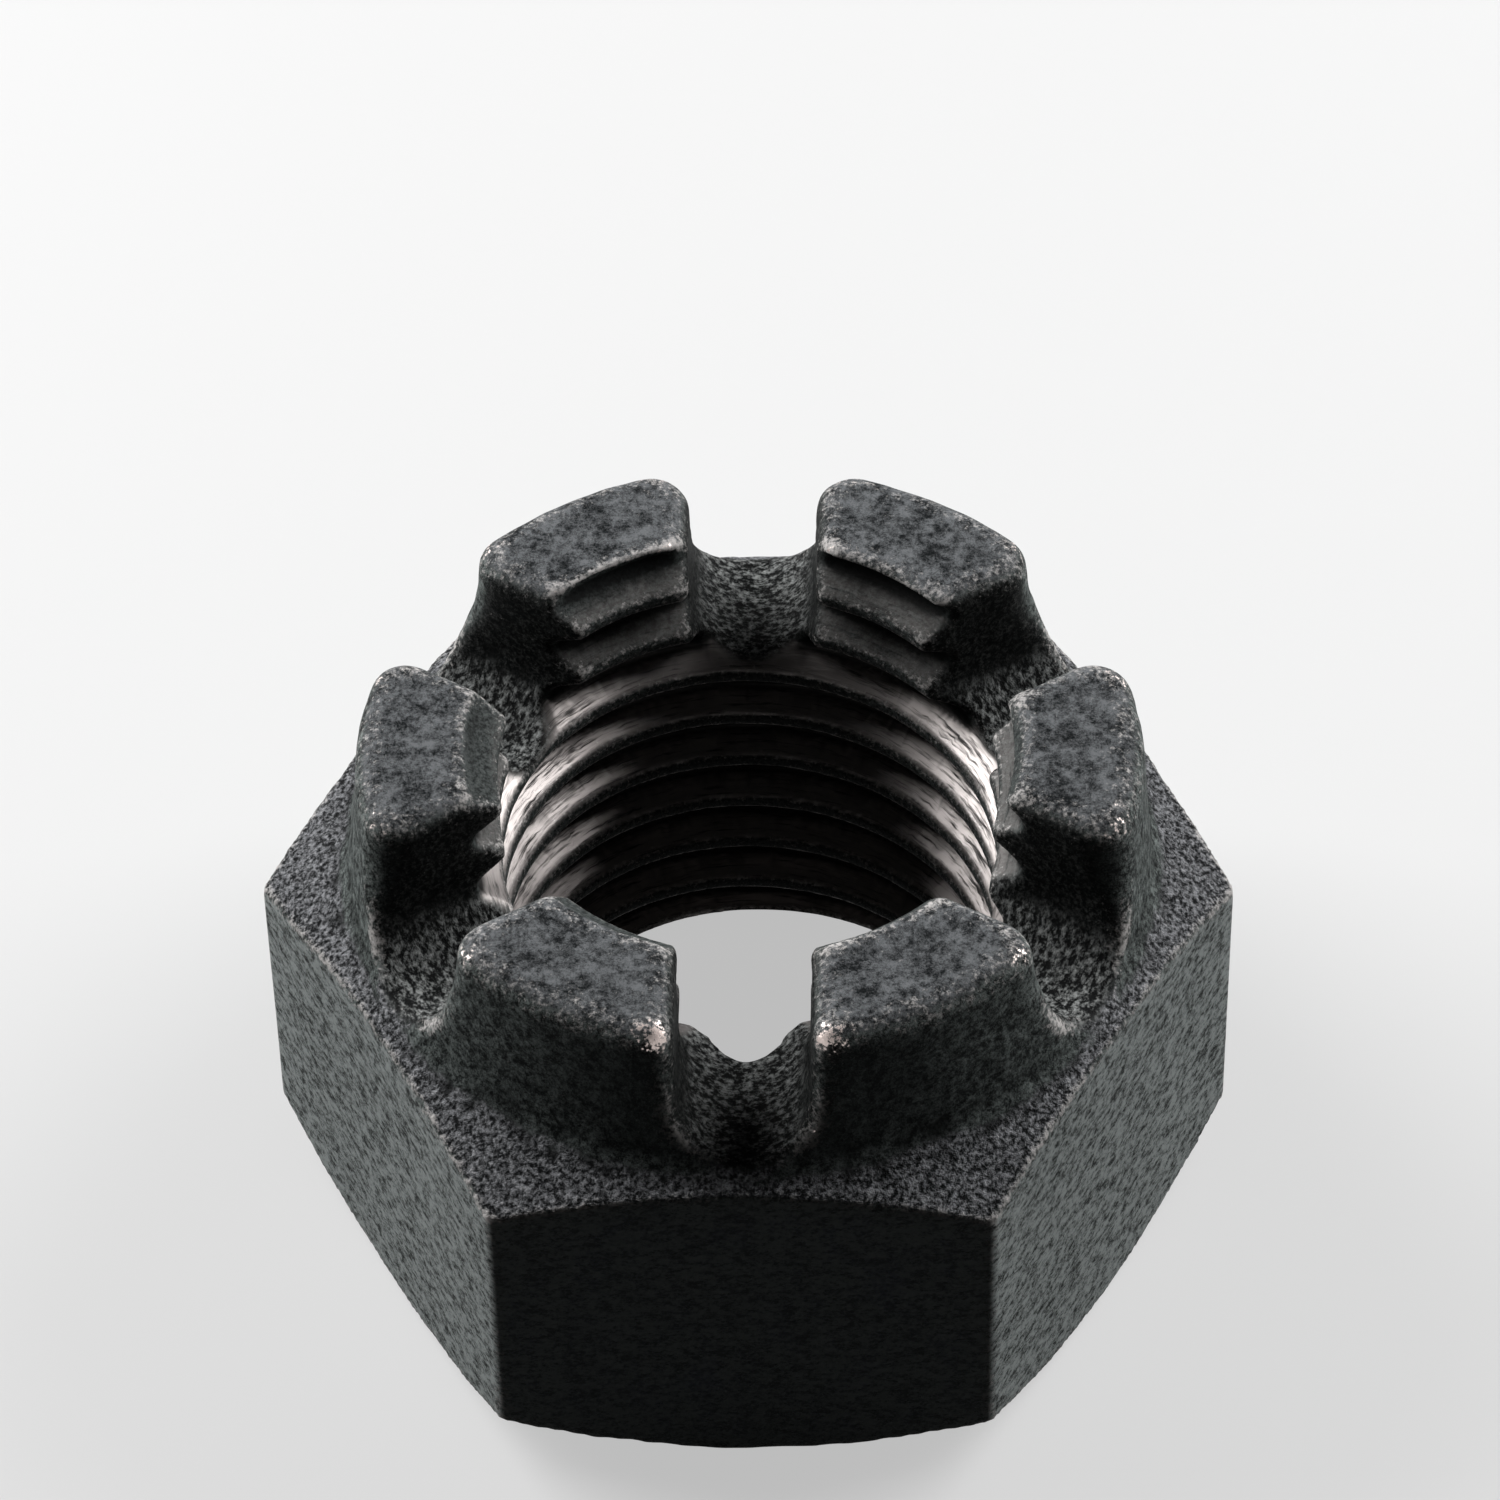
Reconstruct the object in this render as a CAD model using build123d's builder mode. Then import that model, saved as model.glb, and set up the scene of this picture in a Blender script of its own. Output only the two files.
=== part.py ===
"""Castle nut, M30 x 3.5 coarse thread, 46 mm across flats, six slots.

One forged and turned steel piece. The frame is millimetres with +Z up: the bearing face lies
on Z = 0 at the thread's axis, the crown is at the top, and one flat faces -Y. The thread
itself is left plain here, as a bore at its minor diameter.
"""
import os
from math import cos, hypot, radians, sin, tan

from build123d import *

# Hexagonal body
FLATS = 6
ACROSS_FLATS = 46.0
BODY_HEIGHT = 23.4             # bearing face to the ring where the shoulder meets the crown
HEX_EDGE_RADIUS = 0.6          # upright edges of the hexagon
SHOULDER_ANGLE = 30.0          # fall of the cone that trims the upper corners
BEARING_CHAMFER_ANGLE = 35.0   # rise of the cone that trims the lower corners
BEARING_INSET = 0.95           # from the flats in to the rim of the bearing face

# Crown
CROWN_HEIGHT = 9.3             # from the shoulder's ring to the top face
CROWN_INSET = 1.3              # from the flats in to the crown's foot
CROWN_TAPER = 5.0              # lean of the outer wall from the axis, in degrees
CROWN_FOOT_RADIUS = 1.3        # hollow fillet down to the shoulder

# Slots for the split pin
SLOTS = 6
SLOT_WIDTH = 6.9               # across the round bottom
SLOT_DRAFT = 1.0               # lean of the two walls, wider at the top, in degrees
SLOT_RISE = 0.5                # from the crown's foot up to the lowest line of the slot
SLOT_MOUTH_RADIUS = 1.4        # rounding of the outer edge
CASTELLATION_TOP_RADIUS = 1.5  # rounding of the top face, except towards the bore

# Thread
THREAD_MINOR = 26.2
TOP_COUNTERSINK = 1.5          # depths of the two 45 degree countersinks
BOTTOM_COUNTERSINK = 3.3

OVERRUN = 1.0                  # how far a cutting shape reaches past the solid
TOLERANCE = 0.01               # for telling edges apart by their radius

LABEL = "castle_nut"


def slope(run, angle):
    """Rise over a run at this angle, in degrees."""
    return run * tan(radians(angle))


def radius_at_middle(edge):
    """Distance from the thread's axis to the middle of an edge."""
    middle = edge @ 0.5
    return hypot(middle.X, middle.Y)


nut_height = BODY_HEIGHT + CROWN_HEIGHT
flat_radius = ACROSS_FLATS / 2
clear_radius = flat_radius / cos(radians(180 / FLATS)) + OVERRUN    # outside every corner
bearing_radius = flat_radius - BEARING_INSET
foot_radius = flat_radius - CROWN_INSET
crown_radius = foot_radius - slope(CROWN_HEIGHT, CROWN_TAPER)       # at the top face
bore_radius = THREAD_MINOR / 2
countersink_radius = bore_radius + TOP_COUNTERSINK                  # at the top face

# Envelope: the turned outline, from the bearing face over both cones to the crown
with BuildSketch(Plane.XZ) as outline:
    with BuildLine():
        Polyline(
            (0, 0),
            (bearing_radius, 0),
            (clear_radius, slope(clear_radius - bearing_radius, BEARING_CHAMFER_ANGLE)),
            (clear_radius, BODY_HEIGHT - slope(clear_radius - foot_radius, SHOULDER_ANGLE)),
            (foot_radius, BODY_HEIGHT),
            (crown_radius, nut_height),
            (0, nut_height),
            close=True,
        )
    make_face()
    foot = outline.vertices().sort_by_distance((foot_radius, BODY_HEIGHT))[0]
    fillet(foot, CROWN_FOOT_RADIUS)

with BuildPart() as envelope:
    revolve(outline.sketch, axis=Axis.Z)

# Slot: a full round bottom that runs into two leaning walls, from the axis outwards
slot_bottom = BODY_HEIGHT + SLOT_RISE
slot_radius = SLOT_WIDTH / 2
wall_foot_x = slot_radius * cos(radians(SLOT_DRAFT))
wall_foot_z = slot_bottom + slot_radius * (1 - sin(radians(SLOT_DRAFT)))
wall_top_z = nut_height + OVERRUN
wall_top_x = wall_foot_x + slope(wall_top_z - wall_foot_z, SLOT_DRAFT)

with BuildPart() as slot:
    with BuildSketch(Plane.XZ):
        with BuildLine():
            ThreePointArc((-wall_foot_x, wall_foot_z), (0, slot_bottom), (wall_foot_x, wall_foot_z))
            Polyline(
                (wall_foot_x, wall_foot_z),
                (wall_top_x, wall_top_z),
                (-wall_top_x, wall_top_z),
                (-wall_foot_x, wall_foot_z),
            )
        make_face()
    extrude(amount=clear_radius)

# Nut: the hexagon inside the envelope, then the bore, the slots and their roundings
with BuildPart() as castle_nut:
    with BuildSketch():
        RegularPolygon(flat_radius, FLATS, major_radius=False)
    extrude(amount=nut_height)
    fillet(castle_nut.edges().filter_by(Axis.Z), HEX_EDGE_RADIUS)
    add(envelope.part, mode=Mode.INTERSECT)

    Hole(bore_radius)
    circles = castle_nut.edges().filter_by(GeomType.CIRCLE)
    bore_rims = circles.filter_by(lambda edge: abs(edge.radius - bore_radius) < TOLERANCE)
    lower_rim, upper_rim = bore_rims.sort_by(Axis.Z)
    chamfer(lower_rim, BOTTOM_COUNTERSINK)
    chamfer(upper_rim, TOP_COUNTERSINK)

    with PolarLocations(0, SLOTS):
        add(slot.part, mode=Mode.SUBTRACT)
    cut_edges = castle_nut.edges(Select.LAST).filter_by(GeomType.CIRCLE, reverse=True)
    mouths = cut_edges.filter_by(lambda edge: radius_at_middle(edge) > crown_radius)
    fillet(mouths, SLOT_MOUTH_RADIUS)

    top_edges = castle_nut.faces().group_by(Axis.Z)[-1].edges()
    outer_rims = top_edges.filter_by(
        lambda edge: radius_at_middle(edge) > countersink_radius + TOLERANCE
    )
    fillet(outer_rims, CASTELLATION_TOP_RADIUS)

castle_nut.part.label = LABEL
os.makedirs("parts", exist_ok=True)
export_step(castle_nut.part, f"parts/{LABEL}.step")
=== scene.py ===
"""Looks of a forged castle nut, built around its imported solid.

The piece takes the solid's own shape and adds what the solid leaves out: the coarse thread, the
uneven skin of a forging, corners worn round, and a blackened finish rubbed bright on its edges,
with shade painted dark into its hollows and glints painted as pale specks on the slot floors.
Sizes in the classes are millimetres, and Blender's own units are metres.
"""

import itertools
import logging
import math
from dataclasses import dataclass
from enum import Enum
from functools import partial

import bmesh
import bpy
import numpy as np
from mathutils import Matrix, Vector


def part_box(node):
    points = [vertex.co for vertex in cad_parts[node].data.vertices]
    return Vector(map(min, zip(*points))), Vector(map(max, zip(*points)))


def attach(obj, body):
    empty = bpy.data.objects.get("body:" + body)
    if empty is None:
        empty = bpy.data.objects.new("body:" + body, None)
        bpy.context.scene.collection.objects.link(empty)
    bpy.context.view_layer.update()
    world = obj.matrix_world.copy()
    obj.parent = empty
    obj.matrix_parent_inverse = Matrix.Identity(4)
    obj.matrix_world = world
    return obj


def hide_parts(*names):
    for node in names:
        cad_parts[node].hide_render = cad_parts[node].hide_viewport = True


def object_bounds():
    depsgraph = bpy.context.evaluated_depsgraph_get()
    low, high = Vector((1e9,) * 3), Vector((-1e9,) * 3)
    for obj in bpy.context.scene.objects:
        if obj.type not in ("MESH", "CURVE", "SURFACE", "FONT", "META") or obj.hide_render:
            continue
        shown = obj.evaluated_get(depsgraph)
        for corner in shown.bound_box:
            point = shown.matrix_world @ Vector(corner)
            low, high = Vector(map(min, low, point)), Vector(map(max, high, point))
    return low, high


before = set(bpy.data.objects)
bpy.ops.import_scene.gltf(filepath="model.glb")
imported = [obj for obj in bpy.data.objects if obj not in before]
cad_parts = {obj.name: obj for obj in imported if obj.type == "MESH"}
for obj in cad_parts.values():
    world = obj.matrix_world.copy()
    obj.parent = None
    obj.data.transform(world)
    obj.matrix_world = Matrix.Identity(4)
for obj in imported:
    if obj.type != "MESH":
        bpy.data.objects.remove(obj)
cad_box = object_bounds()

MM = 0.001
log = logging.getLogger("castle_nut")


class Field(str, Enum):
    """Point attributes that the nut's mesh carries for its finish and its painted shade."""

    FLANK = "thread_flank"
    BORE = "thread"
    FLAT = "flat"
    SHOULDER = "shoulder"
    TOP = "top"
    SLOT = "slot"
    SLOT_FLOOR = "slot_floor"
    PROUD = "proud"
    CORNER = "corner"
    # Hollows, such as the crown's foot, where near-black painted shade goes
    SHADED_HOLLOW = "shaded_hollow"
    RADIUS = "thread_radius"
    ALONG = "slot_along"
    ACROSS = "slot_across"


def linear(colour: str) -> tuple[float, float, float, float]:
    """Turns an sRGB hex colour to the linear values that shaders take.

    Args:
        colour: six hex digits, such as "3A3D3D".

    Returns:
        Red, green, blue and an alpha of 1.
    """
    parts = [int(colour[i:i + 2], 16) / 255 for i in (0, 2, 4)]
    return (*(p / 12.92 if p <= 0.04045 else ((p + 0.055) / 1.055) ** 2.4 for p in parts), 1.0)


def smooth_step(low: float, high: float, value: np.ndarray) -> np.ndarray:
    """Rises smoothly from 0 at low to 1 at high.

    Args:
        low: value that gives 0.
        high: value that gives 1. It may lie below low, which turns the step round.
        value: the values to map.

    Returns:
        The mapped values.
    """
    t = np.clip((value - low) / (high - low), 0.0, 1.0)
    return t * t * (3.0 - 2.0 * t)


def lattice_noise(points: np.ndarray, cell: float, seed: int) -> np.ndarray:
    """Smooth noise between -1 and 1 that is the same on every run.

    Args:
        points: places, one row each.
        cell: distance between the noise's own lattice points, in the unit of the places.
        seed: whole number that picks one noise out of many.

    Returns:
        One value for each place.
    """
    scaled = points / cell + seed * np.array([7.31, 3.17, 5.53])
    base = np.floor(scaled).astype(np.int64)
    part = scaled - base
    part = part * part * (3.0 - 2.0 * part)
    total = np.zeros(len(points))
    for corner in itertools.product((0, 1), repeat=3):
        at = base + np.array(corner)
        mixed = (at[:, 0] * 73856093) ^ (at[:, 1] * 19349663) ^ (at[:, 2] * 83492791) ^ (seed * 2654435761)
        mixed = (mixed ^ (mixed >> 13)) * 1274126177
        value = ((mixed ^ (mixed >> 16)) & 0xFFFF) / 0x7FFF - 1.0
        total += value * np.where(np.array(corner) == 1, part, 1.0 - part).prod(axis=1)
    return total


def linked_object(name: str, mesh: bpy.types.Mesh) -> bpy.types.Object:
    """Makes an object of a mesh and puts it in the scene.

    Args:
        name: the object's name.
        mesh: its mesh.

    Returns:
        The new object.
    """
    made = bpy.data.objects.new(name, mesh)
    bpy.context.scene.collection.objects.link(made)
    return made


def mesh_from(name: str, shape: bmesh.types.BMesh) -> bpy.types.Mesh:
    """Writes a bmesh to a new mesh and frees it.

    Args:
        name: the mesh's name.
        shape: the bmesh.

    Returns:
        The new mesh.
    """
    mesh = bpy.data.meshes.new(name)
    shape.to_mesh(mesh)
    shape.free()
    return mesh


@dataclass(frozen=True)
class Waves:
    """Smooth unevenness of one size."""

    cell: float                      # mm between the noise's lattice points
    depth: float                     # mm in and out
    seed: int

    def at(self, points: np.ndarray) -> np.ndarray:
        """Gives the unevenness in millimetres at places, one row each."""
        return lattice_noise(points, self.cell, self.seed) * self.depth


@dataclass
class Surface:
    """A mesh's points as arrays, in millimetres, with the edges between them."""

    mesh: bpy.types.Mesh

    def __post_init__(self) -> None:
        """Reads the points and the edges."""
        size = len(self.mesh.vertices)
        flat = np.empty(size * 3)
        self.mesh.vertices.foreach_get("co", flat)
        self.co = flat.reshape(-1, 3) / MM
        ends = np.empty(len(self.mesh.edges) * 2, dtype=np.int32)
        self.mesh.edges.foreach_get("vertices", ends)
        self.first, self.second = ends.reshape(-1, 2).T
        count = np.bincount(self.first, minlength=size) + np.bincount(self.second, minlength=size)
        self.count = np.maximum(count, 1)

    def write(self) -> None:
        """Puts the points back into the mesh."""
        self.mesh.vertices.foreach_set("co", (self.co * MM).ravel())
        self.mesh.update()

    def normals(self) -> np.ndarray:
        """Reads the point normals.

        Returns:
            One unit vector a row.
        """
        flat = np.empty(len(self.co) * 3)
        self.mesh.vertex_normals.foreach_get("vector", flat)
        return flat.reshape(-1, 3)

    def radius(self) -> np.ndarray:
        """Distance of each point from the thread's axis."""
        return np.hypot(self.co[:, 0], self.co[:, 1])

    def averaged(self, values: np.ndarray, rounds: int, share: object = 0.5) -> np.ndarray:
        """Averages values with those of the points around them.

        Args:
            values: one row a point.
            rounds: how often.
            share: how much of the neighbours' mean goes in each time, one number or one a point.

        Returns:
            The averaged values.
        """
        size = len(self.co)
        rows = values.reshape(size, -1).T.copy()
        for _ in range(rounds):
            for row in rows:
                around = np.bincount(self.first, row[self.second], size)
                around += np.bincount(self.second, row[self.first], size)
                row += (around / self.count - row) * share
        return rows.T.reshape(values.shape)

    def proud(self, rounds: int) -> np.ndarray:
        """Measures how far each point stands out of the surface around it.

        Args:
            rounds: how often the surface around is averaged, which sets how wide it is.

        Returns:
            Millimetres, above 0 on edges and corners and below 0 in hollows.
        """
        return ((self.co - self.averaged(self.co, rounds)) * self.normals()).sum(axis=1)

    def store(self, field: Field, values: np.ndarray) -> None:
        """Writes one value a point as an attribute of the mesh."""
        layer = self.mesh.attributes.new(field.value, "FLOAT", "POINT")
        layer.data.foreach_set("value", values.astype(np.float32))


def rounded_corner(first: np.ndarray, second: np.ndarray, radius: object) -> np.ndarray:
    """Joins two surfaces' distances to those of the solid inside both, its corner rounded.

    Args:
        first: distances from one surface, above 0 outside.
        second: distances from the other.
        radius: of the rounding, one number or one a place.

    Returns:
        Distances from the joined surface, above 0 outside.
    """
    a, b = first + radius, second + radius
    return np.hypot(np.maximum(a, 0), np.maximum(b, 0)) + np.minimum(np.maximum(a, b), 0) - radius


@dataclass(frozen=True)
class Thread:
    """M30 x 3.5 internal thread, right-handed, and the cutter that makes it."""

    pitch: float = 3.5
    crest_radius: float = 13.4       # towards the upper limit that the standard allows
    root_radius: float = 15.1
    crest_width: float = 0.8
    flank_angle: float = 30.0        # from a plane across the axis
    start: float = 2.85              # height of the groove's middle where it crosses +X
    crest_rounding: float = 0.15
    root_rounding: float = 0.3
    reach: float = 0.9               # how far the cutter stands in from the crests
    overrun: float = 4.0             # past each end of the hole
    steps_per_turn: int = 120

    def line(self, places: np.ndarray) -> np.ndarray:
        """Gives where in the thread's period a place lies.

        Args:
            places: x, y and z in millimetres, one row each.

        Returns:
            Distance from the groove's middle along the axis, from minus to plus half the pitch.
        """
        turn = np.arctan2(places[:, 1], places[:, 0]) / math.tau
        share = (places[:, 2] - self.start) / self.pitch - turn
        return (share - np.round(share)) * self.pitch

    def half_width(self, radius: object) -> object:
        """Half the groove's width along the axis at a radius."""
        at_crest = (self.pitch - self.crest_width) / 2
        return at_crest - (radius - self.crest_radius) * math.tan(math.radians(self.flank_angle))

    def distance(self, places: np.ndarray) -> np.ndarray:
        """Distance from the thread's skin, above 0 in the hole.

        Args:
            places: x, y and z in millimetres, one row each.

        Returns:
            The distances, near enough close to the skin.
        """
        radius = np.hypot(places[:, 0], places[:, 1])
        flank = self.half_width(radius) - np.abs(self.line(places))
        flank = flank * math.cos(math.radians(self.flank_angle))
        groove = -rounded_corner(-flank, radius - self.root_radius, self.root_rounding)
        return rounded_corner(self.crest_radius - radius, groove, self.crest_rounding)

    def cutter(self, height: float) -> bpy.types.Object:
        """Makes the helical bar that cuts the groove.

        Args:
            height: the nut's height.

        Returns:
            A closed mesh object that runs past both ends of the hole.
        """
        first = self.start - self.pitch * math.ceil((self.start + self.overrun) / self.pitch)
        turns = math.ceil((height + self.overrun - first) / self.pitch)
        inner = self.crest_radius - self.reach
        shape = bmesh.new()
        corners = [
            (inner, -self.half_width(inner)),
            (self.root_radius, -self.half_width(self.root_radius)),
            (self.root_radius, self.half_width(self.root_radius)),
            (inner, self.half_width(inner)),
        ]
        profile = shape.faces.new([shape.verts.new((x * MM, 0, (first + z) * MM)) for x, z in corners])
        bmesh.ops.spin(
            shape, geom=[profile, *profile.edges, *profile.verts], cent=(0, 0, 0), axis=(0, 0, 1),
            dvec=(0, 0, self.pitch * MM / self.steps_per_turn), angle=math.tau * turns,
            steps=turns * self.steps_per_turn, use_merge=False, use_duplicate=False,
        )
        bmesh.ops.recalc_face_normals(shape, faces=shape.faces)
        return linked_object("thread_cutter", mesh_from("thread_cutter", shape))


@dataclass(frozen=True)
class Crown:
    """The slotted crown, rounded as a forging is and not as a cutter leaves it."""

    slots: int = 6
    slot_radius: float = 3.45
    slot_bottom: float = 23.9
    slot_draft: float = 1.0
    foot_height: float = 23.4
    foot_radius: float = 21.7
    foot_fillet: float = 1.0
    taper: float = 5.0
    shoulder_angle: float = 30.0
    corner_low: float = 0.7          # rounding of the castellations' outer corners, at the slots' foot
    corner_high: float = 1.5         # the same towards the top
    corner_worn: float = 1.2         # more of it on every slot but the one that faces -Y
    corner_heights: tuple[float, float] = (24.8, 30.0)
    top_rounding: float = 1.25
    corner_reach: float = 2.4        # how far from the corners wear fades out
    corner_spread: float = 0.4       # what a millimetre away from the slot counts for in that

    def bearing(self, places: np.ndarray) -> np.ndarray:
        """Angle of the slot nearest to each place, from +X."""
        step = math.tau / self.slots
        return (np.floor(np.arctan2(places[:, 1], places[:, 0]) / step) + 0.5) * step

    def sector(self, places: np.ndarray) -> tuple[np.ndarray, np.ndarray]:
        """Turns places into the frame of their nearest slot.

        Args:
            places: x, y and z in millimetres, one row each.

        Returns:
            Distance along the slot from the axis, and signed distance across it.
        """
        middle = self.bearing(places)
        along = places[:, 0] * np.cos(middle) + places[:, 1] * np.sin(middle)
        across = -places[:, 0] * np.sin(middle) + places[:, 1] * np.cos(middle)
        return along, across

    def slot_depth(self, places: np.ndarray) -> np.ndarray:
        """How far inside a slot's opening a place is, below 0 in the metal.

        Args:
            places: x, y and z in millimetres, one row each.

        Returns:
            The distances.
        """
        _, across = self.sector(places)
        rise = places[:, 2] - self.slot_bottom - self.slot_radius
        half = self.slot_radius + np.maximum(rise, 0) * math.tan(math.radians(self.slot_draft))
        return half - np.hypot(across, np.minimum(rise, 0))

    def corner(self, places: np.ndarray, height: float) -> np.ndarray:
        """How near a place is to a castellation's outer corner, where slot, wall and top meet.

        Args:
            places: x, y and z in millimetres, one row each.
            height: the nut's height.

        Returns:
            1 at the corner, falling to 0.
        """
        lean = (places[:, 2] - self.foot_height) * math.tan(math.radians(self.taper))
        wall = self.foot_radius - lean - np.hypot(places[:, 0], places[:, 1])
        slot, top = -self.slot_depth(places), height - places[:, 2]
        away = np.sqrt(wall ** 2 + (slot * self.corner_spread) ** 2 + top ** 2)
        return smooth_step(self.corner_reach, 0.0, away)

    def distance(self, places: np.ndarray, height: float) -> np.ndarray:
        """Distance from the crown's rounded skin, above 0 outside the metal.

        Args:
            places: x, y and z in millimetres, one row each.
            height: the nut's height.

        Returns:
            The distances, near enough close to the skin.
        """
        z, radius = places[:, 2], np.hypot(places[:, 0], places[:, 1])
        taper, fall = math.radians(self.taper), math.radians(self.shoulder_angle)
        wall = (radius - self.foot_radius + (z - self.foot_height) * math.tan(taper)) * math.cos(taper)
        shoulder = (z - self.foot_height + (radius - self.foot_radius) * math.tan(fall)) * math.cos(fall)
        outline = -rounded_corner(-wall, -shoulder, self.foot_fillet)
        low, high = self.corner_heights
        worn = self.corner_high + self.corner_worn * (1 - np.maximum(-np.sin(self.bearing(places)), 0) ** 3)
        corner = self.corner_low + (worn - self.corner_low) * smooth_step(low, high, z)
        slotted = rounded_corner(outline, self.slot_depth(places), corner)
        return rounded_corner(slotted, z - height, self.top_rounding)


@dataclass
class CastleNut:
    """The nut: its mesh, the worn forged surface, and its finish."""

    thread: Thread
    crown: Crown
    node: str = "castle_nut"
    voxel: float = 0.28              # cell of the remesh that takes the sharpness off what was cut
    triangle_share: float = 0.5      # of the remeshed triangles that are kept
    crown_offset: float = 0.2        # crown and bore stand this far towards +X from the hexagon
    slot_shelter: float = 0.5        # how much the slots' edges are spared the rubbing
    upper_sink: tuple[float, float] = (14.6, 1.5)    # radius at the top face, and depth
    lower_sink: float = 16.4         # radius at the bearing face, the depth following at 45 degrees
    sink_curve: float = 2.2          # radius that the upper one's face is hollowed to
    edge_rounding: float = 0.2       # where the thread runs out into the countersinks, and underneath
    rim_rounding: float = 0.45       # where the hole runs out into the slots and the top
    crown_dull: float = 0.75         # how much less the flanks are burnished up in the crown
    forged: tuple[Waves, ...] = (Waves(5.5, 0.09, 1), Waves(2.2, 0.05, 2), Waves(0.9, 0.035, 3))
    shoulder_share: float = 0.6      # of the broad waves that the shoulder shows
    forge_scale: Waves = Waves(0.62, 0.05, 4)        # pressed into the shoulder
    rolled: Waves = Waves(7.0, 0.02, 5)              # the flats, left from the bar
    flat_inset: float = 0.03         # which keeps the flats' waves inside the solid
    tapped: Waves = Waves(1.6, 0.02, 6)
    burrs: tuple[Waves, ...] = (Waves(0.8, 0.11, 7), Waves(1.7, 0.09, 8))
    burr_reach: int = 8              # rounds of averaging that an edge is told by, for its burr
    wear_reach: int = 20             # the same for wear, which is wider
    painted_shade_depths: tuple[float, float] = (0.02, 0.08)  # mm below the surface around, where the painted shade starts and where it is full
    bore_limit: float = 16.6         # from here out, the solid's own shape stays
    crown_limit: float = 22.8        # the same round the crown
    settle_rounds: int = 5
    settle_move: float = 0.4         # most that a point moves in a round

    def __post_init__(self) -> None:
        """Reads the solid's box."""
        self.low, self.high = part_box(self.node)
        self.height = (self.high.z - self.low.z) / MM

    def solid_copy(self) -> bpy.types.Object:
        """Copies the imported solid's mesh as one merged shell.

        Returns:
            The copy, an object of its own.
        """
        shape = bmesh.new()
        shape.from_mesh(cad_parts[self.node].data)
        bmesh.ops.remove_doubles(shape, verts=shape.verts, dist=1e-6)
        return linked_object("nut_body", mesh_from("nut_body", shape))

    def evaluated(self, piece: bpy.types.Object) -> bpy.types.Mesh:
        """Gives a piece's mesh with its modifiers applied."""
        graph = bpy.context.evaluated_depsgraph_get()
        return bpy.data.meshes.new_from_object(piece.evaluated_get(graph))

    def build(self) -> bpy.types.Object:
        """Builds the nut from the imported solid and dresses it.

        Returns:
            The finished piece.
        """
        body, cutter = self.solid_copy(), self.thread.cutter(self.height)
        cut = body.modifiers.new("thread", "BOOLEAN")
        cut.operation, cut.solver, cut.object = "DIFFERENCE", "EXACT", cutter
        cells = body.modifiers.new("cells", "REMESH")
        cells.mode, cells.voxel_size = "VOXEL", self.voxel * MM
        mesh = self.evaluated(body)
        for scrap in (body, cutter):
            bpy.data.objects.remove(scrap)

        surface = Surface(mesh)
        self.settle(surface)
        surface.co = surface.averaged(surface.co, rounds=6, share=0.1)
        surface.write()
        self.weather(surface)
        self.mark(surface)
        piece = linked_object("castle_nut_worn", mesh)
        thin = piece.modifiers.new("thin", "DECIMATE")
        thin.ratio = self.triangle_share
        piece.data = self.evaluated(piece)
        piece.modifiers.clear()
        piece.data.shade_smooth()
        self.keep_in_box(piece.data)

        piece.data.materials.clear()
        piece.data.materials.append(PhosphatedSteel().build())
        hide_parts(self.node)
        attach(piece, "root")
        return piece

    def keep_in_box(self, mesh: bpy.types.Mesh) -> None:
        """Holds the mesh within the solid's box.

        Args:
            mesh: the nut's mesh.
        """
        surface = Surface(mesh)
        surface.co = np.clip(surface.co, np.array(self.low) / MM, np.array(self.high) / MM)
        surface.write()

    def skin(self, places: np.ndarray) -> np.ndarray:
        """Distance from the rounded skin of the crown and the hole, above 0 outside the metal.

        Args:
            places: x, y and z in millimetres, one row each.

        Returns:
            The distances, near enough close to the skin.
        """
        radius, z = np.hypot(places[:, 0], places[:, 1]), places[:, 2]
        rim, depth = self.upper_sink
        reach = math.sqrt(self.sink_curve ** 2 / 2 - depth ** 2 / 4)
        upper = self.sink_curve - np.hypot(
            radius - (rim - depth / 2 - reach), z - (self.height - depth / 2 + reach))
        lower = (self.lower_sink - z - radius) * math.sqrt(0.5)
        hole = rounded_corner(self.thread.distance(places), upper, self.edge_rounding)
        hole = rounded_corner(hole, lower, self.edge_rounding)
        whole = rounded_corner(self.crown.distance(places, self.height), hole, self.rim_rounding)
        return rounded_corner(whole, -z, self.edge_rounding)

    def settle(self, surface: Surface) -> None:
        """Moves the points of the crown and the hole onto their rounded skin.

        Args:
            surface: the nut's surface.
        """
        radius, foot = surface.radius(), self.crown.foot_height
        crown = smooth_step(self.crown_limit, self.crown_limit - 0.4, radius)
        crown *= smooth_step(foot - 0.9, foot - 0.6, surface.co[:, 2])
        weight = np.maximum(crown, smooth_step(self.bore_limit, self.bore_limit - 0.3, radius))
        chosen = weight > 0
        start = surface.co[chosen]
        spots, step = start.copy(), 0.02
        for _ in range(self.settle_rounds):
            here = np.clip(self.skin(spots), -self.settle_move, self.settle_move)
            slope = np.stack([
                (self.skin(spots + step * axis) - self.skin(spots - step * axis)) / (2 * step)
                for axis in np.eye(3)], axis=1)
            steep = np.maximum((slope * slope).sum(axis=1), 0.3)
            spots -= slope * (here / steep)[:, None]
        surface.co[chosen] += (spots - start) * weight[chosen][:, None]

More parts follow.
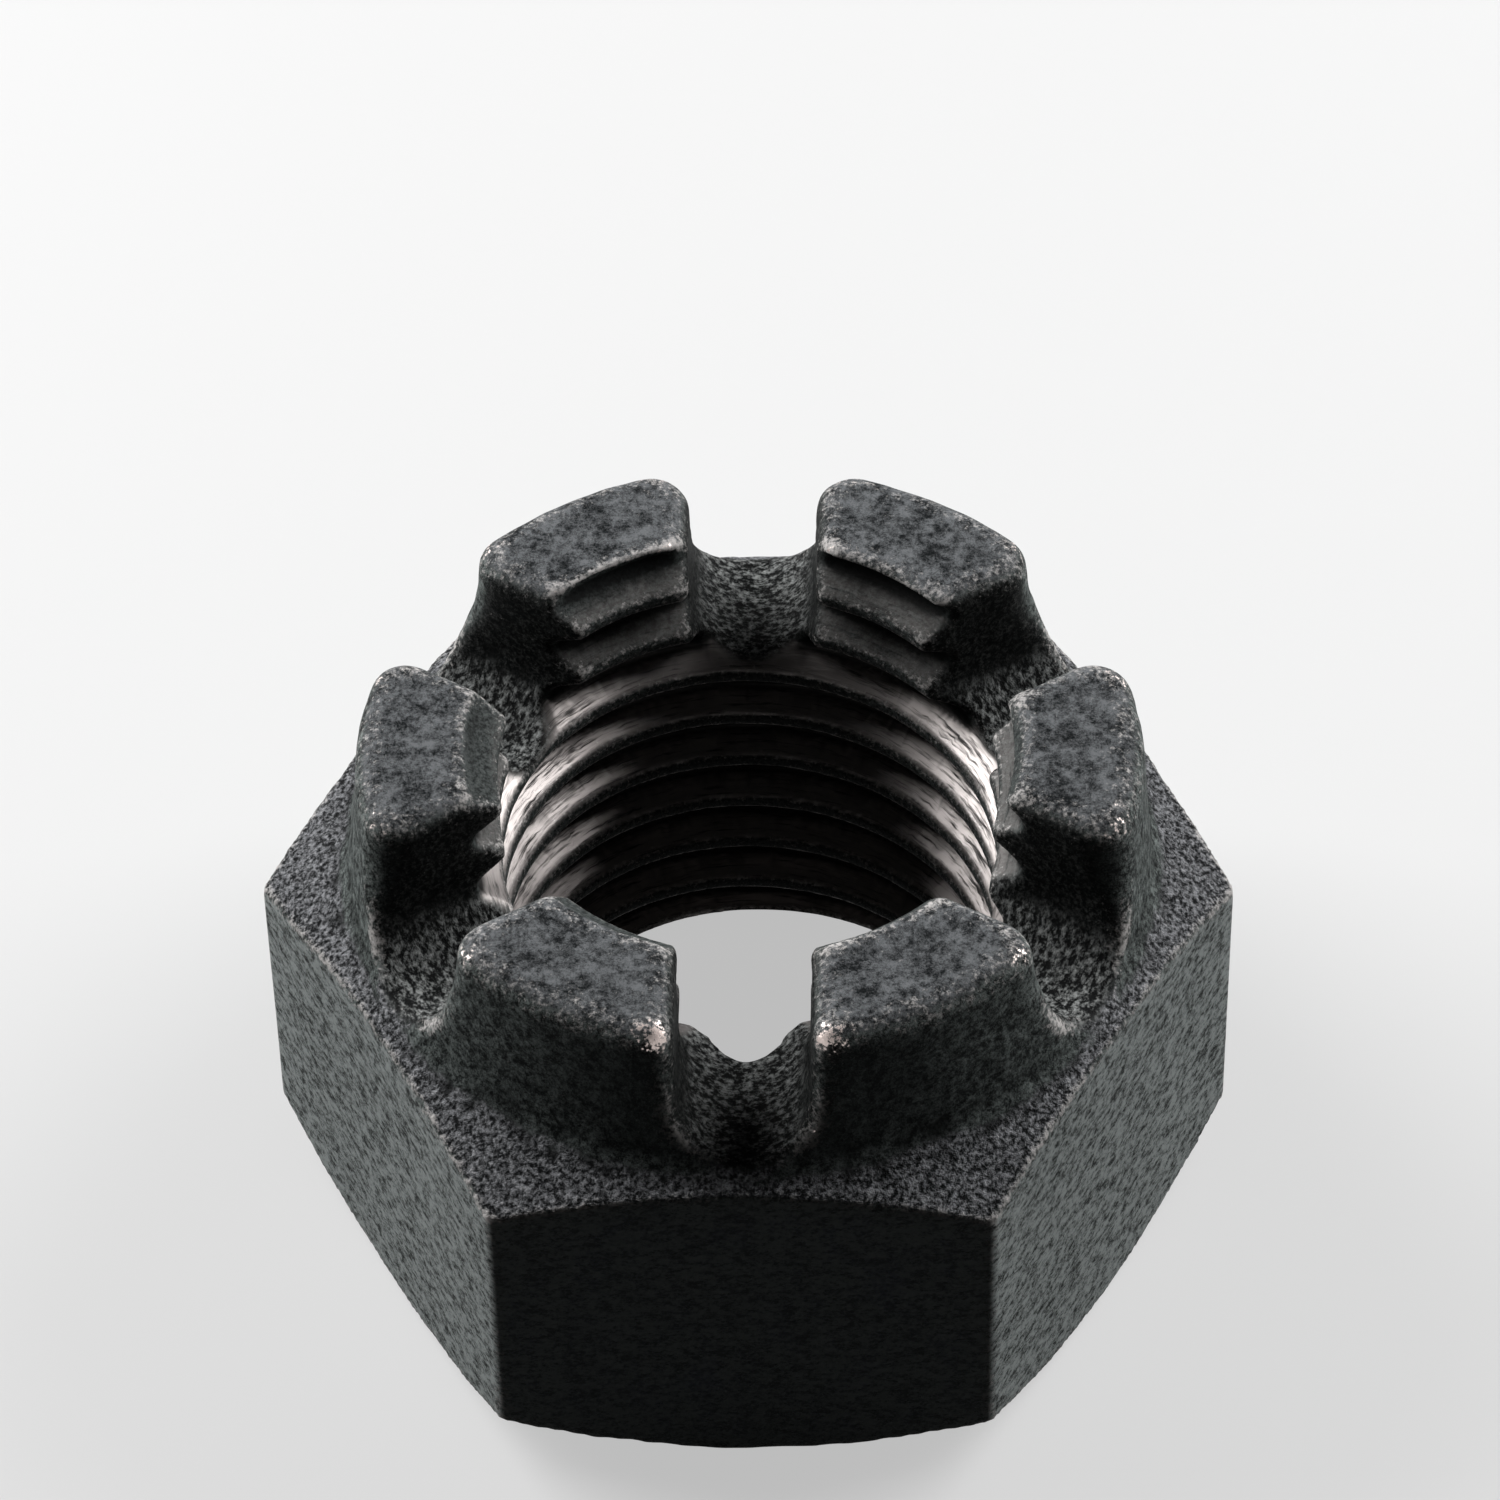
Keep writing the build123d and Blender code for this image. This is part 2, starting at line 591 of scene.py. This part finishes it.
    def weather(self, surface: Surface) -> None:
        """Gives the surface the unevenness of a forging and moves the crown off centre.

        Args:
            surface: the nut's surface.
        """
        normal, co = surface.normals(), surface.co
        zones = self.zones(co, normal)
        shoulder, bore, flat = zones[Field.SHOULDER], zones[Field.BORE], zones[Field.FLAT]
        skin = np.clip(1 - shoulder - bore - flat, 0, 1)
        burr = smooth_step(0.1, 0.35, surface.proud(self.burr_reach))
        burr *= smooth_step(16.5, 15.5, surface.radius())
        broad = self.forged[0].at(co) + self.forged[1].at(co)
        fine = self.forged[2].at(co)
        push = (
            (broad + fine) * skin
            + (broad * self.shoulder_share + fine + self.forge_scale.at(co)) * shoulder
            + (self.rolled.at(co) - self.flat_inset) * flat
            + self.tapped.at(co) * bore
            + (self.burrs[0].at(co) + self.burrs[1].at(co)) * burr
        )
        co += normal * push[:, None]
        co[:, 0] += self.crown_offset * smooth_step(25.0, 21.8, surface.radius())
        surface.write()

    def zones(self, co: np.ndarray, normal: np.ndarray) -> dict[Field, np.ndarray]:
        """Tells the nut's surfaces apart.

        Each step runs from where a surface begins to where it is full, by a place in millimetres
        or by how far its normal points up or out.

        Args:
            co: points in millimetres.
            normal: their normals.

        Returns:
            A weight from 0 to 1 for each surface, by its field.
        """
        crown, thread, height = self.crown, self.thread, self.height
        radius, z, up = np.hypot(co[:, 0], co[:, 1]), co[:, 2], normal[:, 2]
        outward = (co[:, 0] * normal[:, 0] + co[:, 1] * normal[:, 1]) / radius
        slot = smooth_step(-0.45, -0.1, crown.slot_depth(co)) * smooth_step(
            crown.slot_bottom - 0.5, crown.slot_bottom - 0.2, z)
        bore = smooth_step(thread.root_radius + 0.4, thread.root_radius + 0.1, radius)
        bore *= smooth_step(0.25, 0.05, outward) * (1 - slot)
        top = smooth_step(0.6, 0.85, up) * smooth_step(height - 2.0, height - 1.2, z)
        bore *= 1 - top * smooth_step(height - 0.5, height - 0.2, z)
        shoulder = smooth_step(0.55, 0.7, up)
        shoulder *= smooth_step(crown.foot_radius - 0.6, crown.foot_radius, radius)
        shoulder *= smooth_step(crown.foot_height + 1.6, crown.foot_height + 0.8, z) * (1 - slot)
        flat = smooth_step(0.35, 0.2, np.abs(up))
        flat *= smooth_step(crown.foot_height - 0.6, crown.foot_height - 1.0, z)
        flat *= smooth_step(20.0, 21.0, radius)
        flank = bore * smooth_step(0.45, 0.7, np.abs(up)) * smooth_step(height - 1.2, height - 1.7, z)
        flank *= 1 - self.crown_dull * smooth_step(crown.slot_bottom + 0.8, crown.slot_bottom + 2.8, z)
        slot *= 1 - top
        return {
            Field.BORE: bore, Field.FLANK: flank, Field.FLAT: flat, Field.SHOULDER: shoulder,
            Field.TOP: top * (1 - bore), Field.SLOT: slot,
            Field.SLOT_FLOOR: slot * smooth_step(0.3, 0.75, up),
        }

    def mark(self, surface: Surface) -> None:
        """Writes the fields that the finish reads.

        Args:
            surface: the nut's surface.
        """
        centred = surface.co - np.array([self.crown_offset, 0, 0])
        fields = self.zones(centred, surface.normals())
        proud = surface.proud(self.wear_reach)
        fields[Field.PROUD] = proud * (1 - self.slot_shelter * fields[Field.SLOT])
        fields[Field.CORNER] = self.crown.corner(centred, self.height)
        # Painted shade mask: the hollows are marked to be painted dark, all but the slot floors
        fields[Field.SHADED_HOLLOW] = smooth_step(*self.painted_shade_depths, -proud) * (1 - fields[Field.SLOT_FLOOR])
        fields[Field.RADIUS] = np.hypot(centred[:, 0], centred[:, 1])
        fields[Field.ALONG], fields[Field.ACROSS] = self.crown.sector(centred)
        for field, values in fields.items():
            surface.store(field, values)


def add_node(
    tree: bpy.types.NodeTree, kind: str, inputs: dict | None = None, **settings: object,
) -> bpy.types.Node:
    """Adds a shader node with its settings and links.

    Args:
        tree: the node tree.
        kind: the node's type.
        inputs: for each input, by its name or number, a value, an output socket, or a node whose
            first output is taken.
        settings: the node's own properties.

    Returns:
        The new node.
    """
    node = tree.nodes.new(kind)
    for name, value in settings.items():
        setattr(node, name, value)
    for key, value in (inputs or {}).items():
        value = value.outputs[0] if isinstance(value, bpy.types.Node) else value
        if isinstance(value, bpy.types.NodeSocket):
            tree.links.new(value, node.inputs[key])
        else:
            node.inputs[key].default_value = value
    return node


class Layout(Enum):
    """Coordinates in millimetres that a pattern is laid out on."""

    PLACE = "object"
    SLOT = "along, across and up a slot"
    THREAD = "out from the axis, and drawn out along the thread's line"


@dataclass(frozen=True)
class Coat:
    """The coat on one surface: two colours and the noise that mixes them."""

    where: Field | None              # the whole nut if None
    dark: str
    pale: str
    size: tuple[float, float, float]  # mm between the largest patches, by the layout's axes
    low: float                       # noise that still gives the dark colour
    high: float                      # noise that gives the pale one
    depth: float                     # mm that the noise moves the surface by
    detail: float = 4.0              # octaves, each half the size of the one before
    rough: float = 0.68              # strength of each octave against the one before
    layout: Layout = Layout.PLACE


@dataclass(frozen=True)
class PhosphatedSteel:
    """Forged steel with a manganese phosphate coat.

    The coat is matt black and mottled where its crystals lie thick or thin. Where the nut has
    rubbed against others, the bare steel shows through, bright and slightly warm. Its hollows are
    painted near black as shade, and the slot floors carry painted glints.
    """

    name: str = "phosphated_forged_steel"
    # Coarser than the real crystals, which are a few hundredths of a millimetre, so that they show
    wall: Coat = Coat(None, "090B0B", "6A706E", (1.1, 1.1, 1.1), 0.38, 0.72, 0.06, 4.0, 0.95)
    coats: tuple[Coat, ...] = (
        Coat(Field.SHOULDER, "0D0E0F", "848588", (0.6, 0.6, 0.6), 0.38, 0.72, 0.20, 3.0, 0.75),
        Coat(Field.FLAT, "0F1110", "7F8483", (1.6, 1.6, 1.0), 0.36, 0.60, 0.02, 4.0, 0.88),
        Coat(Field.SLOT, "090B0B", "424342", (0.6, 0.6, 0.6), 0.42, 0.76, 0.05, 3.0, 0.85),
        # Slot floors: dark skin with pale specks over a strong bump; the specks are partly the coat's
        # crystals and partly painted glints
        Coat(Field.SLOT_FLOOR, "0A0B0B", "777978", (0.6, 1.0, 1.0), 0.42, 0.72, 0.14, 3.0, 0.75, Layout.SLOT),
        Coat(Field.BORE, "171919", "464A49", (0.5, 0.5, 0.5), 0.32, 0.72, 0.02, 3.0, 0.8),
        Coat(
            Field.FLANK, "1A1B1B", "7F7A78", (0.45, 0.45, 0.45), 0.25, 0.53, 0.002, 3.0, 0.85,
            Layout.THREAD,
        ),
        Coat(Field.TOP, "0F1112", "5B5D5F", (2.2, 2.2, 2.2), 0.37, 0.66, 0.05, 5.0, 0.92),
    )
    drawn_out: float = 0.06          # mm out from the axis that a millimetre along the thread counts for
    shift: float = 3.7               # lattice steps from one coat's noise to the next one's
    # Painted shade: a near-black colour laid into the hollows, where the lamps' shade falls
    painted_shade_colour: str = "0B0C0C"
    painted_shade_share: float = 0.9        # how much of the coat's own colour the painted shade hides
    rubbed: str = "A19E9C"
    bare: str = "D9CAC4"
    rub_from: float = 0.085          # mm proud of the surface around where rubbing starts to show
    rub_full: float = 0.27
    rub_break: float = 0.6           # how far the mottle breaks the rubbed edges up, mm a unit of it
    bare_edge: float = 4.5           # what a millimetre proud counts for beside being at a corner
    bare_from: float = 1.35          # of both together, where bare steel starts to show
    bare_full: float = 1.6
    bare_break: float = 2.8          # how far the mottle breaks the bare patches up
    roughness: float = 0.62
    flank_roughness: float = 0.35
    bare_roughness: float = 0.45
    specular: float = 0.03

    def build(self) -> bpy.types.Material:
        """Makes the material.

        Returns:
            The material.
        """
        material = bpy.data.materials.new(self.name)
        material.use_nodes = True
        tree = material.node_tree
        tree.nodes.clear()
        add = partial(add_node, tree)

        fields = {
            which: add("ShaderNodeAttribute", attribute_name=which.value).outputs["Fac"]
            for which in Field
        }
        place = add("ShaderNodeTexCoord").outputs["Object"]
        slot_line = add("ShaderNodeCombineXYZ", {0: fields[Field.ALONG], 1: fields[Field.ACROSS]})
        thread_line = add("ShaderNodeCombineXYZ", {2: fields[Field.RADIUS]})
        layouts = {
            Layout.PLACE: add("ShaderNodeVectorMath", {0: place, 1: (1 / MM,) * 3}, operation="MULTIPLY"),
            Layout.SLOT: add("ShaderNodeVectorMath", {
                0: place, 1: (0, 0, 1 / MM), 2: slot_line}, operation="MULTIPLY_ADD"),
            Layout.THREAD: add("ShaderNodeVectorMath", {
                0: place, 1: (self.drawn_out / MM,) * 3, 2: thread_line}, operation="MULTIPLY_ADD"),
        }

        # Each surface's coat in turn, over the one before; the first lies everywhere
        colour = height = mottle = streak = None
        for number, coat in enumerate((self.wall, *self.coats)):
            scale = [2 / size for size in coat.size]        # patches lie two lattice steps apart
            moved = add("ShaderNodeVectorMath", {
                0: layouts[coat.layout], 1: scale, 2: (number * self.shift,) * 3}, operation="MULTIPLY_ADD")
            noise = add("ShaderNodeTexNoise", {
                "Vector": moved, "Scale": 1.0, "Detail": coat.detail, "Roughness": coat.rough})
            share = add("ShaderNodeMapRange", {
                "Value": noise, "From Min": coat.low, "From Max": coat.high}, interpolation_type="SMOOTHSTEP")
            own = add("ShaderNodeMix", {
                0: share, 6: linear(coat.dark), 7: linear(coat.pale)}, data_type="RGBA").outputs[2]
            raised = add("ShaderNodeMath", {0: noise, 1: coat.depth * MM}, operation="MULTIPLY")
            if coat.where is None:
                colour, height = own, raised
                continue
            weight = fields[coat.where]
            colour = add("ShaderNodeMix", {0: weight, 6: colour, 7: own}, data_type="RGBA").outputs[2]
            height = add("ShaderNodeMix", {0: weight, 2: height, 3: raised}, data_type="FLOAT")
            if coat.where is Field.FLANK:
                streak = share
            if coat.where is Field.SHOULDER:
                mottle = noise

        # Painted shade: the hollows are darkened to near black; edges are rubbed grey, and the corners bare,
        # both broken up by the mottle
        painted_shade = add("ShaderNodeMath", {
            0: fields[Field.SHADED_HOLLOW], 1: self.painted_shade_share}, operation="MULTIPLY")
        colour = add("ShaderNodeMix", {
            0: painted_shade, 6: colour, 7: linear(self.painted_shade_colour)}, data_type="RGBA").outputs[2]
        uneven = add("ShaderNodeMath", {0: mottle, 1: 0.5}, operation="SUBTRACT")
        rubbing = add("ShaderNodeMath", {
            0: uneven, 1: self.rub_break, 2: fields[Field.PROUD]}, operation="MULTIPLY_ADD")
        rub = add("ShaderNodeMapRange", {
            "Value": rubbing, "From Min": self.rub_from, "From Max": self.rub_full},
            interpolation_type="SMOOTHSTEP")
        colour = add("ShaderNodeMix", {
            0: rub, 6: colour, 7: linear(self.rubbed)}, data_type="RGBA").outputs[2]
        knock = add("ShaderNodeMath", {
            0: fields[Field.PROUD], 1: self.bare_edge, 2: fields[Field.CORNER]}, operation="MULTIPLY_ADD")
        baring = add("ShaderNodeMath", {0: uneven, 1: self.bare_break, 2: knock}, operation="MULTIPLY_ADD")
        bare = add("ShaderNodeMapRange", {
            "Value": baring, "From Min": self.bare_from, "From Max": self.bare_full},
            interpolation_type="SMOOTHSTEP")
        colour = add("ShaderNodeMix", {
            0: bare, 6: colour, 7: linear(self.bare)}, data_type="RGBA").outputs[2]

        # The flanks shine where the tap has burnished them, and bare steel shines more
        shine = add("ShaderNodeMath", {0: fields[Field.FLANK], 1: streak}, operation="MULTIPLY")
        metal = add("ShaderNodeMath", {0: shine, 1: bare}, operation="MAXIMUM")
        rough = add("ShaderNodeMix", {
            0: shine, 2: self.roughness, 3: self.flank_roughness}, data_type="FLOAT")
        rough = add("ShaderNodeMix", {0: bare, 2: rough, 3: self.bare_roughness}, data_type="FLOAT")
        bump = add("ShaderNodeBump", {"Height": height, "Strength": 1.0, "Distance": 1.0})
        shader = add("ShaderNodeBsdfPrincipled", {
            "Base Color": colour, "Metallic": metal, "Roughness": rough, "Normal": bump})
        shader.inputs["Specular IOR Level"].default_value = self.specular
        add("ShaderNodeOutputMaterial", {"Surface": shader})
        return material


@dataclass(frozen=True)
class Softbox:
    """One studio lamp, aimed at the nut."""

    name: str
    bearing: float                   # degrees from +X towards +Y
    rise: float                      # degrees above the floor
    distance: float                  # mm
    size: tuple[float, float]        # mm
    power: float                     # W

    def build(self, aim: Vector) -> bpy.types.Object:
        """Makes the lamp.

        Args:
            aim: the point that it faces, in metres.

        Returns:
            The lamp object.
        """
        light = bpy.data.lights.new(self.name, "AREA")
        light.shape = "RECTANGLE"
        light.size, light.size_y = self.size[0] * MM, self.size[1] * MM
        light.energy = self.power
        lamp = bpy.data.objects.new(self.name, light)
        bpy.context.scene.collection.objects.link(lamp)
        bearing, rise = math.radians(self.bearing), math.radians(self.rise)
        way = Vector((math.cos(rise) * math.cos(bearing), math.cos(rise) * math.sin(bearing), math.sin(rise)))
        lamp.location = aim + way * self.distance * MM
        lamp.visible_camera = False
        lamp.rotation_mode = "QUATERNION"
        lamp.rotation_quaternion = (-way).to_track_quat("-Z", "Y")
        return lamp


@dataclass
class Studio:
    """Pale floor, soft lamps and the camera."""

    softboxes: tuple[Softbox, ...] = (
        Softbox("left_softbox", 150, 30, 360, (240, 340), 3.0),
        Softbox("right_softbox", 30, 30, 360, (240, 340), 2.5),
    )
    floor_size: float = 6000.0       # mm
    floor_colour: str = "F4F4F4"
    floor_share: float = 0.22        # of its colour that the floor gives back of the lamps' light
    floor_glow: float = 0.56         # of white that it shows even in full shadow
    floor_bounce: str = "2A2A2A"     # its colour to the light that it throws back at the nut
    room_pale: str = "F4F4F4"
    room_dim: str = "191919"
    backdrop_top: tuple[float, float] = (0.3, 0.55)  # sines of the rise between which it ends
    camera_at: tuple[float, float, float] = (9.05, -262.13, 328.03)
    camera_aim: tuple[float, float, float] = (0.0, 9.06, 21.82)
    camera_roll: float = -1.35       # degrees
    lens: float = 178.2              # mm, as is the sensor
    sensor: float = 36.0

    def shown(self, tree: bpy.types.NodeTree) -> bpy.types.NodeSocket:
        """Tells rays that show the stage from those that carry its light.

        Args:
            tree: the node tree.

        Returns:
            A socket that is 1 for camera, mirror and glass rays, and else 0.
        """
        path = add_node(tree, "ShaderNodeLightPath")
        shown = path.outputs["Is Camera Ray"]
        for name in ("Is Glossy Ray", "Is Transmission Ray"):
            both = add_node(tree, "ShaderNodeMath", {0: shown, 1: path.outputs[name]}, operation="MAXIMUM")
            shown = both.outputs[0]
        return shown

    def floor(self) -> bpy.types.Object:
        """Makes the floor under the nut.

        Returns:
            The floor object.
        """
        shape = bmesh.new()
        bmesh.ops.create_grid(shape, x_segments=1, y_segments=1, size=self.floor_size * MM / 2)
        piece = linked_object("floor", mesh_from("floor", shape))
        material = bpy.data.materials.new("matt_white_paper")
        material.use_nodes = True
        tree = material.node_tree
        tree.nodes.clear()
        lit = add_node(tree, "ShaderNodeBsdfDiffuse", {
            "Color": [c * self.floor_share for c in linear(self.floor_colour)[:3]] + [1.0]})
        glow = add_node(tree, "ShaderNodeEmission", {
            "Color": linear(self.floor_colour), "Strength": self.floor_glow})
        pale = add_node(tree, "ShaderNodeAddShader", {0: lit, 1: glow})
        dim = add_node(tree, "ShaderNodeBsdfDiffuse", {"Color": linear(self.floor_bounce)})
        both = add_node(tree, "ShaderNodeMixShader", {0: self.shown(tree), 1: dim, 2: pale})
        add_node(tree, "ShaderNodeOutputMaterial", {"Surface": both})
        piece.data.materials.append(material)
        return piece

    def world(self) -> None:
        """Sets the room: a pale backdrop to look at, dim in the light that it gives and overhead."""
        world = bpy.data.worlds.new("studio")
        bpy.context.scene.world = world
        world.use_nodes = True
        tree = world.node_tree
        tree.nodes.clear()
        path = add_node(tree, "ShaderNodeLightPath")
        coordinates = add_node(tree, "ShaderNodeTexCoord")
        way = add_node(tree, "ShaderNodeSeparateXYZ", {0: coordinates.outputs["Generated"]})
        low, high = self.backdrop_top
        backdrop = add_node(tree, "ShaderNodeMapRange", {
            "Value": way.outputs[2], "From Min": low, "From Max": high, "To Min": 1.0, "To Max": 0.0})
        share = add_node(tree, "ShaderNodeMath", {0: self.shown(tree), 1: backdrop}, operation="MULTIPLY")
        share = add_node(tree, "ShaderNodeMath", {
            0: share, 1: path.outputs["Is Camera Ray"]}, operation="MAXIMUM")
        both = add_node(tree, "ShaderNodeMix", {
            0: share, 6: linear(self.room_dim), 7: linear(self.room_pale)}, data_type="RGBA")
        glow = add_node(tree, "ShaderNodeBackground", {"Color": both.outputs[2]})
        add_node(tree, "ShaderNodeOutputWorld", {"Surface": glow})

    def camera(self) -> bpy.types.Object:
        """Places the camera.

        Returns:
            The camera object.
        """
        data = bpy.data.cameras.new("camera")
        data.lens, data.sensor_width = self.lens, self.sensor
        data.clip_start, data.clip_end = 0.01, 20.0
        made = bpy.data.objects.new("camera", data)
        bpy.context.scene.collection.objects.link(made)
        at, aim = Vector(self.camera_at) * MM, Vector(self.camera_aim) * MM
        turned = (aim - at).to_track_quat("-Z", "Y").to_matrix() @ Matrix.Rotation(
            math.radians(self.camera_roll), 3, "Z")
        made.matrix_world = Matrix.Translation(at) @ turned.to_4x4()
        bpy.context.scene.camera = made
        return made

    def build(self, aim: Vector) -> None:
        """Builds the stage.

        Args:
            aim: the middle of the nut, in metres.
        """
        self.floor()
        self.world()
        for softbox in self.softboxes:
            softbox.build(aim)
        self.camera()


def main() -> None:
    """Builds the nut and its stage."""
    logging.basicConfig(level=logging.INFO, format="%(name)s: %(message)s")
    scene = bpy.context.scene
    scene.view_settings.view_transform = "Standard"

    piece = CastleNut(Thread(), Crown()).build()
    triangles = sum(len(p.vertices) - 2 for p in piece.data.polygons)
    log.info("%s: %d triangles", piece.name, triangles)

    low, high = cad_box
    Studio().build((low + high) / 2)


if __name__ == "__main__":
    main()
